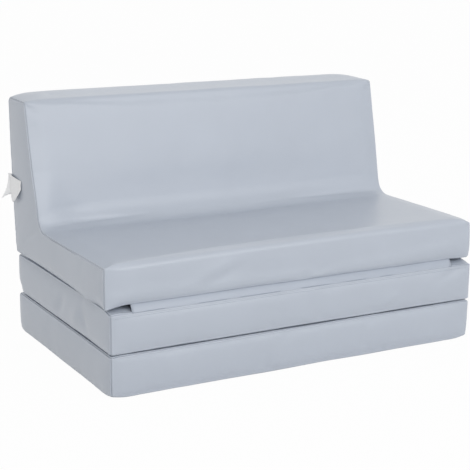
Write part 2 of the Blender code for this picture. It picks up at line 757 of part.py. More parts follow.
def main():
    for item in list(bpy.data.objects):
        bpy.data.objects.remove(item)
    bottom = make_axis("bottom_pad_root", Vector((0, 0, 0)), None)
    middle = make_axis("rear_hinge_axis", REAR_HINGE, bottom)
    sofa = make_axis("front_hinge_axis", FRONT_HINGE, middle)
    bottom_crowns = (BOTTOM_PAD_TOP_CROWN, 0)
    middle_crowns = (MIDDLE_PAD_TOP_CROWN, MIDDLE_PAD_BASE_CROWN)
    make_pad("bottom", bottom, 0, bottom_crowns, 1)
    make_pad("middle", middle, MIDDLE_PAD_BASE, middle_crowns, -1)
    make_sofa(sofa)
    make_flaps(bottom, middle, bottom_crowns, middle_crowns)


main()
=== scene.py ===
"""The looks of the kids flip open sofa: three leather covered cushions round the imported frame.

Metres, +Z up, in the frame's own place. Each cushion is one closed cover with sewn seams over its
foam, and the hinge flaps, zips, patches, stitches and care label are pieces of their own.
"""

import math

import bmesh
import bpy
import numpy as np
from mathutils import Matrix, Vector, noise
from mathutils.bvhtree import BVHTree
from mathutils.kdtree import KDTree


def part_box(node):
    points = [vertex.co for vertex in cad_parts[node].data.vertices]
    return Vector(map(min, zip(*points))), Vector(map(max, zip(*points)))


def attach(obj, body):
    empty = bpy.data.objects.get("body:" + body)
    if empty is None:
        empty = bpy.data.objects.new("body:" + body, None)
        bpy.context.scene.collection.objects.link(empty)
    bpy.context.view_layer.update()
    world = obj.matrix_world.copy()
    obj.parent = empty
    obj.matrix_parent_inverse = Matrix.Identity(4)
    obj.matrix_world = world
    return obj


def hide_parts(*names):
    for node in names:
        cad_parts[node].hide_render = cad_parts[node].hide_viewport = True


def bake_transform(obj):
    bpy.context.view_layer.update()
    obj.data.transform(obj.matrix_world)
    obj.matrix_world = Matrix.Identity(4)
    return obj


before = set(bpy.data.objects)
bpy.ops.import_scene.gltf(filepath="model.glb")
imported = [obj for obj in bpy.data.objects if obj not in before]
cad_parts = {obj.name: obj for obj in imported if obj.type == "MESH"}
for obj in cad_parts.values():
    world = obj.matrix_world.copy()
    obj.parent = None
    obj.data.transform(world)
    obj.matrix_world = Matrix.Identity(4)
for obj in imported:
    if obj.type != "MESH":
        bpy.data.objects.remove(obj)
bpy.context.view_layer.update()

# Sizes of the cushions, as the frame's solids have them
PAD_HALF_WIDTH = 0.5
PAD_HALF_DEPTH = 0.2925
BOTTOM_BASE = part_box("bottom_base_panel")[0].z
BOTTOM_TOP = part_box("bottom_top_panel")[1].z
MIDDLE_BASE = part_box("middle_base_panel")[0].z
MIDDLE_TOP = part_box("middle_top_panel")[1].z
SOFA_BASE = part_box("sofa_base_panel")[0].z
PAD_HALF = Vector((PAD_HALF_WIDTH, PAD_HALF_DEPTH, (BOTTOM_TOP - BOTTOM_BASE) / 2))
PAD_RADII = Vector((0.0078, 0.01, 0.0052))
PAD_BASE_RADIUS = 0.006
PAD_SHIFT = 0.002
PAD_BULGE = 0.0018
PAD_DRAW = 0.0015
EDGE_ROLL = 0.06
PAD_CELL = 0.013

# Sofa outline, seen from its right end: corners as (Y, Z above its base), clockwise from the front
SOFA_HALF_WIDTH = 0.5065
SOFA_EDGE_RADIUS = 0.006
SOFA_BASE_CROWN = 0.0045
FRONT_BASE_RISE = 0.002
SIDE_BASE_SHARE = 0.65
TOP_CORNER_DROOP = 0.0065
FRONT_CORNER_DROOP = 0.005
RIGHT_DROOP_SHARE = 0.25
DROOP_REACH = 0.06
SEAT_TILT = 0.003
SOFA_FACE_CROWN = 0.0022
SOFA_SIDE_BULGE = 0.0018
SIDE_PILLOW_WIDTH = 0.035
SEAT_TOP = 0.0985
SEAT_FRONT_RISE = 0.004
BACKREST_TOP = 0.4085
SOFA_FRONT = -0.2835
SOFA_REAR = 0.2821
INNER_CORNER = 0.1231
BACKREST_LEAN = 0.068
BACKREST_TOP_THICKNESS = 0.1222
CORNERS = (
    Vector((SOFA_FRONT, FRONT_BASE_RISE)),
    Vector((SOFA_FRONT, SEAT_TOP + SEAT_FRONT_RISE)),
    Vector((INNER_CORNER, SEAT_TOP)),
    Vector((INNER_CORNER + BACKREST_LEAN, BACKREST_TOP)),
    Vector((INNER_CORNER + BACKREST_LEAN + BACKREST_TOP_THICKNESS, BACKREST_TOP)),
    Vector((SOFA_REAR, SOFA_BASE_CROWN)),
)
SIDE_RADII = (0.009, 0.006, 0.038, 0.01, 0.022, 0.005)
MIDDLE_RADII = (0.019, 0.015, 0.062, 0.013, 0.01, 0.006)
SMALLEST_RADIUS = 0.002
FRONT_BOTTOM, FRONT_TOP, INNER, BACK_TOP, REAR_TOP, REAR_BOTTOM = range(6)
SIX = len(CORNERS)
INNER_ROLL_SHARE = 0.8

# Seams and stitches
SEAM_DEPTH = 0.0012
SEAM_HALF_WIDTH = 0.0009
SEAM_SAMPLE = 0.002
ALLOWANCE_RISE = 0.0008
ALLOWANCE_MIDDLE = 0.002475
ALLOWANCE_HALF_WIDTH = 0.00189
TOPSTITCH_DROP = 0.0166
TOPSTITCH_MARGIN = 0.012
STITCH_PITCH = 0.0042
STITCH_LENGTH = 0.0034
THREAD_RADIUS = 0.00036
THREAD_LIFT_SHARE = 0.4
TOPSTITCH_SAMPLES = 201
SLOT_STITCH_SAMPLES = 111

# Zips and their patches
ZIP_SLOT = 0.014
ZIP_SINK = 0.0022
SLOT_STITCH_OFFSET = 0.0022
SLOT_STITCH_MARGIN = 0.006
ZIP_HEIGHT_ON_SOFA = 0.04
ZIP_END_MARGIN = 0.075
SLOT_LOW = ZIP_HEIGHT_ON_SOFA - ZIP_SLOT / 2
SLOT_HIGH = ZIP_HEIGHT_ON_SOFA + ZIP_SLOT / 2
SLOT_EDGE = 0.001
HEM_WIDTH = 0.008
TAPE_REACH = PAD_HALF_WIDTH - HEM_WIDTH
TAPE_HALF_WIDTH = 0.0064
TAPE_THICKNESS = 0.0008
TAPE_COLUMNS = 130
SLOT_FLOOR_SHARE = 0.8
TOOTH_PITCH = 0.0016
TOOTH_LENGTH = 0.0034
TOOTH_RADIUS = 0.00045
TOOTH_OFFSET_SHARE = 0.32
TOOTH_LEAN = 0.12
TOOTH_LIFT = 0.6 * TOOTH_RADIUS
PATCH_HALF_LENGTH = 0.017
PATCH_HALF_WIDTH = 0.013
PATCH_RISE = 0.0022
PATCH_CLEARANCE = 0.0012
PATCH_THICKNESS = 0.001
PATCH_MARGIN = 0.002
PATCH_EDGE_SAMPLE = ZIP_SLOT / 2 + 0.004
PATCH_ROUNDING = 0.07
PATCH_CELLS = 12
PATCH_DOME_POWERS = (3.5, 2.6)
PATCH_STITCH_INSET = 0.84
PATCH_STITCH_STEPS = 8
PATCH_STITCH_PITCH = 0.7 * STITCH_PITCH
ZIP_STITCH_LENGTH = 0.8 * STITCH_LENGTH
# The tape is lifted off its slot, and the patch sunk into its panel, by this share of its thickness
SHIFT_SHARE = 0.1

# Hinge flaps
FLAP_THICKNESS = 0.0012
FLAP_BOW = 0.0015
FLAP_EMBED = 0.0015
FRONT_FLAP_TUCK = 1.5 * FLAP_EMBED
FRONT_FLAP_ENDS = (-0.443, 0.4425)
FRONT_BLEND_SHARES = (0.4, 0.6)
REAR_FLAP_ENDS = (-0.48, 0.48)
REAR_FLAP_ROUNDNESS = 1.7
REAR_FLAP_CELLS = 20
FLAP_COLUMNS = 96
FLAP_WAVE = 0.0005
FLAP_WAVE_RATE = 14
HEM_RISE = 0.0007
HINGE_Y = 0.2995

# Cloth simulation of the covers
CLOTH_FRAMES = 20
CLOTH_CAP = 0.0028
CLOTH_SETTINGS = {
    "quality": 5,
    "mass": 0.3,
    "tension_stiffness": 40,
    "compression_stiffness": 40,
    "shear_stiffness": 20,
    "bending_stiffness": 8,
    "shrink_min": -0.001,
    "use_pressure": True,
    "uniform_pressure_force": 4,
}

# Unevenness of the faces, as pairs of height and waves per metre, and how folds fade at their ends
UNEVENNESS = ((0.001, 6.5), (0.00035, 22))
FOLD_END_SHARE = 0.12
TINY = 1e-9


# Mesh making


def lattice_skin(name, far, place):
    """A closed quad skin over a box of lattice points, numbered up to far: place(i, j, k) puts one."""
    index, points = {}, []
    for i in range(far[0] + 1):
        for j in range(far[1] + 1):
            side = i in (0, far[0]) or j in (0, far[1])
            for k in range(far[2] + 1) if side else (0, far[2]):
                index[i, j, k] = len(points)
                points.append(place(i, j, k))
    faces = []
    for axis in range(3):
        one, two = [other for other in range(3) if other != axis]
        for level in (0, far[axis]):
            for a in range(far[one]):
                for b in range(far[two]):
                    ring = []
                    for da, db in ((0, 0), (1, 0), (1, 1), (0, 1)):
                        key = [0, 0, 0]
                        key[axis], key[one], key[two] = level, a + da, b + db
                        ring.append(index[tuple(key)])
                    faces.append(ring)
    return mesh_object(name, points, faces), list(index)


def add_object(name, data):
    item = bpy.data.objects.new(name, data)
    bpy.context.scene.collection.objects.link(item)
    return item


def mesh_object(name, points, faces):
    """An object from points and faces, its faces turned outwards and shaded smooth."""
    mesh = bpy.data.meshes.new(name)
    mesh.from_pydata([tuple(point) for point in points], [], faces)
    shape = bmesh.new()
    shape.from_mesh(mesh)
    bmesh.ops.recalc_face_normals(shape, faces=shape.faces[:])
    if shape.calc_volume(signed=True) < 0:
        bmesh.ops.reverse_faces(shape, faces=shape.faces[:])
    shape.to_mesh(mesh)
    shape.free()
    mesh.shade_smooth()
    return add_object(name, mesh)


def mark_seam(item, values):
    """Store how much each point belongs to a seam; after sewing, the leather reads it to paint shade into the
    grooves.
    """
    attribute = item.data.attributes.new("seam", "FLOAT", "POINT")
    attribute.data.foreach_set("value", np.array(values, np.float32))


def seam_points(item):
    values = np.zeros(len(item.data.vertices), np.float32)
    item.data.attributes["seam"].data.foreach_get("value", values)
    return values > 0.5


def read_vectors(items, key):
    values = np.zeros(len(items) * 3, np.float32)
    items.foreach_get(key, values)
    return values.reshape(-1, 3).astype(float)


def coordinates(mesh):
    return read_vectors(mesh.vertices, "co")


def set_coordinates(mesh, points):
    mesh.vertices.foreach_set("co", points.astype(np.float32).ravel())
    mesh.update()


def normals(mesh):
    return read_vectors(mesh.vertex_normals, "vector")


def seam_samples(item):
    """A search tree of places along the seam rows, and the seam's heading at each."""
    seam = seam_points(item)
    points = coordinates(item.data)
    samples, headings = [], []
    for edge in item.data.edges:
        one, two = edge.vertices
        if seam[one] and seam[two]:
            run = points[two] - points[one]
            length = np.linalg.norm(run)
            cells = max(1, math.ceil(length / SEAM_SAMPLE))
            samples += [points[one] + run * (cell + 0.5) / cells for cell in range(cells)]
            headings += [run / length] * cells
    tree = KDTree(len(samples))
    for index, sample in enumerate(samples):
        tree.insert(sample, index)
    tree.balance()
    return tree, headings


def seam_distances(item, samples):
    """How far each point lies from the nearest seam line."""
    tree, headings = samples
    distances = []
    for point in coordinates(item.data):
        sample, index, away = tree.find(point)
        along = abs((point - np.array(sample)) @ headings[index])
        distances.append(math.sqrt(max(0, away ** 2 - min(along, SEAM_SAMPLE) ** 2)))
    return np.array(distances)


def sew(item, away):
    """Sink a groove at each seam, with the folded allowance as a low ridge beside it, and mark the groove for
    the leather's painted shade.
    """
    points, facing = coordinates(item.data), normals(item.data)
    crease = np.exp(-(away / SEAM_HALF_WIDTH) ** 2)
    ridge = ALLOWANCE_RISE * np.exp(-((away - ALLOWANCE_MIDDLE) / ALLOWANCE_HALF_WIDTH) ** 4)
    set_coordinates(item.data, points + facing * (ridge - SEAM_DEPTH * crease)[:, None])
    mark_seam(item, crease)


def swell(item):
    """Blow the cover up as cloth that its seams hold, so that it crowns like a stuffed one."""
    start = coordinates(item.data)
    held = item.vertex_groups.new(name="sewn")
    held.add(np.nonzero(seam_points(item))[0].tolist(), 1, "REPLACE")
    modifier = item.modifiers.new("cloth", "CLOTH")
    for key, value in CLOTH_SETTINGS.items():
        setattr(modifier.settings, key, value)
    modifier.settings.vertex_group_mass = held.name
    modifier.settings.effector_weights.gravity = 0
    modifier.point_cache.frame_start, modifier.point_cache.frame_end = 1, CLOTH_FRAMES
    for frame_number in range(1, CLOTH_FRAMES + 1):
        bpy.context.scene.frame_set(frame_number)
    evaluated = item.evaluated_get(bpy.context.evaluated_depsgraph_get())
    moved = coordinates(evaluated.data) - start
    item.modifiers.clear()
    item.vertex_groups.clear()
    bpy.context.scene.frame_set(1)
    reach = np.linalg.norm(moved, axis=1, keepdims=True)
    capped_share = CLOTH_CAP * np.tanh(reach / CLOTH_CAP) / np.maximum(reach, TINY)
    set_coordinates(item.data, start + moved * capped_share)


def subdivide(item):
    """Replace the mesh by its subdivision surface."""
    modifier = item.modifiers.new("smooth", "SUBSURF")
    modifier.levels = modifier.render_levels = 1
    evaluated = item.evaluated_get(bpy.context.evaluated_depsgraph_get())
    fine = bpy.data.meshes.new_from_object(evaluated)
    item.modifiers.clear()
    item.data = fine
    fine.attributes.remove(fine.attributes["seam"])
    fine.shade_smooth()


def path_length(points):
    return sum((after - before).length for before, after in zip(points, points[1:]))


def fall(distance, roll):
    """1 at a seam, easing to 0 one roll width away from it."""
    return max(0, 1 - max(0, distance) / roll) ** 2


def steps(length, edge, target):
    """Places from 0 to length: the edge places at both ends and even cells between them."""
    inner = length - 2 * edge[-1]
    cells = max(1, round(inner / target))
    middle = [edge[-1] + inner * cell / cells for cell in range(1, cells)]
    return list(edge) + middle + [length - place for place in reversed(edge)]


def eased(cells):
    """Shares of a run, in cells that are half as long at its ends."""
    return [cell / cells - math.sin(2 * math.pi * cell / cells) / (4 * math.pi) for cell in range(cells + 1)]


# Materials


def new_node(tree, kind, **values):
    """A shader node with values for its inputs, or else for its settings."""
    made = tree.nodes.new("ShaderNode" + kind)
    for key, value in values.items():
        if key in made.inputs:
            made.inputs[key].default_value = value
        else:
            setattr(made, key, value)
    return made


def blank_material(name, roughness, specular):
    """A material with its node tree, its shader and the object's own coordinates."""
    made = bpy.data.materials.new(name)
    made.use_nodes = True
    tree = made.node_tree
    shader = tree.nodes["Principled BSDF"]
    shader.inputs["Roughness"].default_value = roughness
    shader.inputs["Specular IOR Level"].default_value = specular
    place = new_node(tree, "TexCoord").outputs["Object"]
    return made, tree, shader, place


def textured(tree, place, kind, scale, **values):
    texture = new_node(tree, kind, Scale=scale, **values)
    tree.links.new(place, texture.inputs["Vector"])
    return texture


def two_tone(tree, pattern, low, high):
    """A colour between two, as a pattern says."""
    mix = new_node(tree, "Mix", data_type="RGBA", A=(*low, 1), B=(*high, 1))
    tree.links.new(pattern, mix.inputs["Factor"])
    return mix.outputs["Result"]


def spread(tree, value, low, high, start=0):
    """A value between start and 1, spread from low to high."""
    node = new_node(tree, "MapRange", **{"From Min": start, "To Min": low, "To Max": high})
    tree.links.new(value, node.inputs["Value"])
    return node.outputs["Result"]


def add_bump(tree, height, distance, strength, before=None):
    """The normal of a bump, laid over the one before it."""
    bump = new_node(tree, "Bump", Strength=strength, Distance=distance)
    tree.links.new(height, bump.inputs["Height"])
    if before:
        tree.links.new(before, bump.inputs["Normal"])
    return bump.outputs["Normal"]


def emboss(tree, shader, pattern, colour, dark_share, distance, strength):
    """Let one pattern darken the colour and raise the surface."""
    tone = two_tone(tree, pattern, [part * dark_share for part in colour], colour)
    tree.links.new(tone, shader.inputs["Base Color"])
    tree.links.new(add_bump(tree, pattern, distance, strength), shader.inputs["Normal"])


def leather_material(name, colour):
    """Soft polyurethane leather: a fine pebble grain, faint mottling, and shade painted darker into the seam
    grooves.
    """
    made, tree, shader, place = blank_material(name, roughness=0.34, specular=0.6)
    mottle = textured(tree, place, "TexNoise", scale=7, Detail=4, Roughness=0.55)
    tone = two_tone(tree, mottle.outputs["Fac"], [part * 0.965 for part in colour],
                    [part * 1.035 for part in colour])
    # Painted shade: the base colour darkens to 0.86 where the seam attribute marks a groove
    seam = new_node(tree, "Attribute", attribute_name="seam")
    shaded = new_node(tree, "VectorMath", operation="SCALE")
    tree.links.new(tone, shaded.inputs[0])
    tree.links.new(spread(tree, seam.outputs["Fac"], low=1, high=0.86, start=0.15), shaded.inputs["Scale"])
    tree.links.new(shaded.outputs["Vector"], shader.inputs["Base Color"])

    cloudy = textured(tree, place, "TexNoise", scale=28, Detail=3)
    tree.links.new(spread(tree, cloudy.outputs["Fac"], low=0.3, high=0.39), shader.inputs["Roughness"])

    soft = textured(tree, place, "TexNoise", scale=45, Detail=2)
    creases = textured(tree, place, "TexNoise", scale=260, Detail=4, Roughness=0.6)
    grain = textured(tree, place, "TexVoronoi", scale=950, feature="SMOOTH_F1", Smoothness=0.7)
    normal = add_bump(tree, soft.outputs["Fac"], distance=0.0006, strength=0.35)
    normal = add_bump(tree, creases.outputs["Fac"], distance=0.00018, strength=0.35, before=normal)
    normal = add_bump(tree, grain.outputs["Distance"], distance=0.00012, strength=0.4, before=normal)
    tree.links.new(normal, shader.inputs["Normal"])
    return made


def thread_material(name, colour):
    """Twisted polyester thread."""
    made, tree, shader, place = blank_material(name, roughness=0.5, specular=0.4)
    twist = textured(tree, place, "TexWave", scale=900, bands_direction="DIAGONAL", Distortion=1)
    emboss(tree, shader, twist.outputs["Fac"], colour, dark_share=0.8, distance=0.0001, strength=0.5)
    return made


def weave_material(name, colour, scale, roughness):
    """A woven tape: crossing rows of warp and weft."""
    made, tree, shader, place = blank_material(name, roughness, specular=0.3)
    warp = textured(tree, place, "TexWave", scale, bands_direction="X")
    weft = textured(tree, place, "TexWave", scale, bands_direction="Z")
    cross = new_node(tree, "Math", operation="MULTIPLY")
    tree.links.new(warp.outputs["Fac"], cross.inputs[0])
    tree.links.new(weft.outputs["Fac"], cross.inputs[1])
    emboss(tree, shader, cross.outputs["Value"], colour, dark_share=0.94, distance=0.00012, strength=0.6)
    return made


def moulded_material(name, colour, roughness):
    """Moulded nylon or enamelled metal with a fine uneven skin."""
    made, tree, shader, place = blank_material(name, roughness, specular=0.5)
    spots = textured(tree, place, "TexNoise", scale=300, Detail=3)
    emboss(tree, shader, spots.outputs["Fac"], colour, dark_share=0.92, distance=0.00008, strength=0.3)
    return made


LEATHER = leather_material("cover_leather", colour=(0.45, 0.491, 0.56))
# Painted shade: the hinge flaps are the covers' own leather, with a darker colour painted in for the light
# they catch
FLAP_SHADED_LEATHER = leather_material("hinge_leather", colour=(0.385, 0.427, 0.5))
THREAD = thread_material("sewing_thread", colour=(0.4, 0.44, 0.52))
TAPE = weave_material("zip_tape", colour=(0.3, 0.335, 0.4), scale=500, roughness=0.75)
COIL = moulded_material("zip_coil", colour=(0.34, 0.38, 0.45), roughness=0.4)
SLIDER = moulded_material("zip_slider", colour=(0.3, 0.33, 0.39), roughness=0.35)
SATIN = weave_material("label_satin", colour=(0.96, 0.97, 0.985), scale=1400, roughness=0.55)


def dress(item, surface, body=None):
    """Give a piece its material and, if it rides on one body, that body."""
    item.data.materials.clear()
    item.data.materials.append(surface)
    if body:
        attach(item, body)


# Pads


def pad_surface(box, crowns, out=0):
    """The pad's soft surface at a point of its sharp box, measured from the pad's centre.

    crowns are how far the edges lie off the middle: the top's sides, front and rear, and the base.
    """
    radii = PAD_RADII if box.z > 0 else Vector((PAD_RADII.x, PAD_RADII.y, PAD_BASE_RADIUS))
    limits = PAD_HALF - radii
    core = Vector([max(-limit, min(limit, value)) for value, limit in zip(box, limits)])
    heading = Vector([(value - inner) / radius for value, inner, radius in zip(box, core, radii)])
    heading.normalize()
    point = core + Vector([radius * part for radius, part in zip(radii, heading)]) + heading * out
    falls = [fall(limits[axis] - abs(box[axis]), EDGE_ROLL) for axis in (0, 1)]
    height_share = (box.z / PAD_HALF.z + 1) / 2
    top_drop = max(crowns[0] * falls[0], crowns[1 if box.y < 0 else 2] * falls[1])
    point.z += crowns[3] * max(falls) * (1 - height_share) - top_drop * height_share
    bulge_share = max(0, 1 - (box.z / limits.z) ** 2)
    for axis, other in ((0, 1), (1, 0)):
        reach = box[axis] / PAD_HALF[axis]
        drawn = PAD_DRAW * reach * abs(reach) * (1 - (box[other] / PAD_HALF[other]) ** 2)
        bulged = PAD_BULGE * math.copysign(bulge_share, reach) * (1 - falls[other])
        point[axis] += (bulged if abs(box[axis]) >= limits[axis] else 0) - drawn
    return point + Vector((PAD_SHIFT, 0, 0))


# Cell edges of a pad: distances from its sides, and heights from its middle; and the solids it replaces
EDGE_PLACES = (0, 0.0008, 0.0018, 0.0032, 0.005, 0.007, 0.01, 0.016, 0.024, 0.034, 0.046)
PAD_HEIGHTS = (0.0512, 0.0504, 0.0494, 0.048, 0.0464, 0.0444, 0.042, 0.0385, 0.033, 0.0255, 0.017,
               0.009, 0.0078, 0.007, 0.0062, 0)
PAD_SOLIDS = ("foam", "top_panel", "base_panel", "front_band", "left_band", "right_band",
              "rear_upper_band", "rear_lower_band")


def make_pad(prefix, base, crowns, folds):
    """A pad's sewn cover as one closed form, with a groove at each seam and a slot for the zip."""
    across, along = [[place - half for place in steps(2 * half, EDGE_PLACES, PAD_CELL)]
                     for half in PAD_HALF.xy]
    up = [-place for place in PAD_HEIGHTS] + list(reversed(PAD_HEIGHTS[:-1]))
    far = (len(across) - 1, len(along) - 1, len(up) - 1)
    centre = Vector((0, 0, base + PAD_HALF.z))

    def place(i, j, k):
        box = Vector((across[i], along[j], up[k]))
        in_slot = j == far[1] and 0 < i < far[0] and abs(box.z) < ZIP_SLOT / 2 - THREAD_RADIUS
        return centre + pad_surface(box, crowns, -ZIP_SINK if in_slot else 0)

    item, keys = lattice_skin(prefix + "_cushion", far, place)
    mark_seam(item, [(i in (0, far[0])) + (j in (0, far[1])) + (k in (0, far[2])) > 1 for i, j, k in keys])
    finish_cushion(item, prefix + "_pad", folds, base, base + 2 * PAD_HALF.z)
    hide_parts(*(prefix + "_" + part for part in PAD_SOLIDS))
    return item


# Seat and backrest


def direction(corner):
    return (CORNERS[(corner + 1) % SIX] - CORNERS[corner]).normalized()


def outward(heading):
    return Vector((-heading.y, heading.x))


def corner_arc(corner, inset, share):
    """Centre, radius and the two end normals of a rounded corner; a hollow one turns inside out.

    share is 0 at the sofa's sides and 1 in its middle, where the edges are rounder.
    """
    before, after = outward(direction(corner - 1)), outward(direction(corner))
    hollow = before.cross(after) > 0
    radius = SIDE_RADII[corner] + (MIDDLE_RADII[corner] - SIDE_RADII[corner]) * share
    radius = radius + inset if hollow else max(radius - inset, SMALLEST_RADIUS)
    reach = -radius if hollow else radius
    bisector = (before + after).normalized()
    moved = CORNERS[corner] - bisector * inset / bisector.dot(after)
    return moved - bisector * reach / bisector.dot(after), reach, before, after


def arc_points(corner, inset, middle_share, shares):
    """Points at shares of the way round a rounded corner."""
    centre, reach, before, after = corner_arc(corner, inset, middle_share)
    turn = before.angle_signed(after)
    points = []
    for share in shares:
        cosine, sine = math.cos(turn * share), math.sin(turn * share)
        normal = Vector((before.x * cosine + before.y * sine, before.y * cosine - before.x * sine))
        points.append(centre + normal * reach)
    return points


def run_ends(corner, inset, middle_share):
    return (arc_points(corner, inset, middle_share, (1,))[0],
            arc_points((corner + 1) % SIX, inset, middle_share, (0,))[0])


def run_points(corner, inset, crown_share, shares):
    """Crowned points at shares of the side after a corner; the crown dies away slowly to the hollow."""
    start, end = run_ends(corner, inset, crown_share)
    length = (end - start).length
    heading = (end - start).normalized()
    roll = min(EDGE_ROLL, length / 2)
    first_roll, last_roll = [INNER_ROLL_SHARE * length if (corner + ahead) % SIX == INNER else roll
                             for ahead in (0, 1)]
    height, held = SOFA_FACE_CROWN, crown_share
    if corner == REAR_BOTTOM:
        height, held = SOFA_BASE_CROWN, SIDE_BASE_SHARE + (1 - SIDE_BASE_SHARE) * crown_share
    points = []
    for share in shares:
        crown = height * held * (1 - fall(share * length, first_roll)) * (
            1 - fall((1 - share) * length, last_roll))
        points.append(start + heading * length * share + outward(heading) * crown)
    return points


# Cells of the sofa's outline, as shares of a rounded corner and as numbers of cells
LAST_HALF = (0.5, 0.55, 0.62, 0.72, 0.85, 1)
FIRST_HALF = tuple(1 - share for share in reversed(LAST_HALF))
WHOLE_TURN = (0, 0.15, 0.28, 0.38, 0.45, *LAST_HALF)
SEAT_CELLS = 40
ABOVE_ZIP_CELLS = 26
FRONT_CELLS = 12
REAR_LENGTH = path_length(run_ends(REAR_TOP, 0, 1))


def rear_shares():
    """Places on the rear side from its foot to its top, as shares: fine ones at the zip's slot."""
    places = [0, SLOT_LOW * 0.4, SLOT_LOW * 0.75, SLOT_LOW - SLOT_EDGE, SLOT_LOW, SLOT_LOW + SLOT_EDGE,
              ZIP_HEIGHT_ON_SOFA, SLOT_HIGH - SLOT_EDGE, SLOT_HIGH, SLOT_HIGH + SLOT_EDGE]
    rest = REAR_LENGTH - places[-1]
    return [place / REAR_LENGTH for place in places] + [
        (places[-1] + rest * share) / REAR_LENGTH for share in eased(ABOVE_ZIP_CELLS)[1:]]


REAR_SHARES = rear_shares()


def outline(inset, crown_share):
    """The four sides of the bent block, as (inner, outer, front, top) lists of points."""
    def arc(corner, shares):
        return arc_points(corner, inset, crown_share, shares)

    def run(corner, shares):
        return run_points(corner, inset, crown_share, shares[1:-1])

    def run_back(corner, shares):
        return run_points(corner, inset, crown_share, [1 - share for share in shares[1:-1]])

    seat, front = eased(SEAT_CELLS), eased(FRONT_CELLS)
    back = eased(len(REAR_SHARES) - 1)
    inner = (arc(FRONT_TOP, LAST_HALF) + run(FRONT_TOP, seat) + arc(INNER, WHOLE_TURN)
             + run(INNER, back) + arc(BACK_TOP, FIRST_HALF))
    outer = (arc(FRONT_BOTTOM, reversed(FIRST_HALF)) + run_back(REAR_BOTTOM, seat)
             + arc(REAR_BOTTOM, reversed(WHOLE_TURN)) + run_back(REAR_TOP, REAR_SHARES)
             + arc(REAR_TOP, reversed(LAST_HALF)))
    face = arc(FRONT_BOTTOM, LAST_HALF) + run(FRONT_BOTTOM, front) + arc(FRONT_TOP, FIRST_HALF)
    top = (arc(REAR_TOP, reversed(FIRST_HALF)) + run_back(BACK_TOP, front)
           + arc(BACK_TOP, reversed(LAST_HALF)))
    return inner, outer, face, top


# Cells across the sofa: angles round its side edges, with the seam at one, and distances from them
SIDE_ANGLES = (90, 76, 64, 56, 50, 45, 40, 34, 26, 14, 0)
SEAM_ANGLE = 76
SIDE_PLACES = (0, 0.008, 0.018, 0.03, 0.044, 0.06)
SOFA_CELL = 0.0135
SIDE_EASE_ROWS = 14


def edge_turn(angle):
    """Place across the sofa and inset at an angle round its rounded side edge."""
    across = SOFA_HALF_WIDTH - SOFA_EDGE_RADIUS * (1 - math.sin(math.radians(angle)))
    return across, SOFA_EDGE_RADIUS * (1 - math.cos(math.radians(angle)))


def sofa_sections():
    """Sections across the sofa: place, inset and share of the crown, from left to right."""
    straight = SOFA_HALF_WIDTH - SOFA_EDGE_RADIUS
    rolled = [edge_turn(angle) for angle in SIDE_ANGLES]
    left = [(-across, inset, 0) for across, inset in rolled]
    places = steps(2 * straight, SIDE_PLACES, SOFA_CELL)[1:-1]
    middle = [(place - straight, 0, 1 - fall(min(place, 2 * straight - place), EDGE_ROLL))
              for place in places]
    return left + middle + [(-across, inset, share) for across, inset, share in reversed(left)]


def softened_height(across, point):
    """The height of a place of the cover, with drooping corners and a seat that tilts a little."""
    droop = fall(SOFA_HALF_WIDTH - abs(across), DROOP_REACH)
    top = TOP_CORNER_DROOP * fall(BACKREST_TOP - point.y, DROOP_REACH) * droop
    front = FRONT_CORNER_DROOP * fall(point.x - SOFA_FRONT, DROOP_REACH) * fall(point.y, SEAT_TOP) * (
        droop if across < 0 else droop * RIGHT_DROOP_SHARE)
    on_seat = max(0, min(1, point.y / SEAT_TOP)) * fall(point.x - SOFA_FRONT, -2 * SOFA_FRONT)
    tilt = SEAT_TILT * on_seat * (across / SOFA_HALF_WIDTH - droop * (across > 0))
    return SOFA_BASE + point.y - top - front + tilt


def side_point(sides, j, k):
    """A point of the sofa's left or right side, between its four edges."""
    inner, outer, face, top = sides
    share = path_length(face[:k + 1]) / path_length(face)
    near_front = (1 - min(1, j / SIDE_EASE_ROWS)) ** 2
    near_top = (1 - min(1, (len(inner) - 1 - j) / SIDE_EASE_ROWS)) ** 2
    return (outer[j].lerp(inner[j], share) + (face[k] - face[0].lerp(face[-1], share)) * near_front
            + (top[k] - top[0].lerp(top[-1], share)) * near_top)


def side_bulge(sides, point):
    near = min((other - point).length for side in sides for other in side[::2])
    return SOFA_SIDE_BULGE * (1 - fall(near, SIDE_PILLOW_WIDTH))


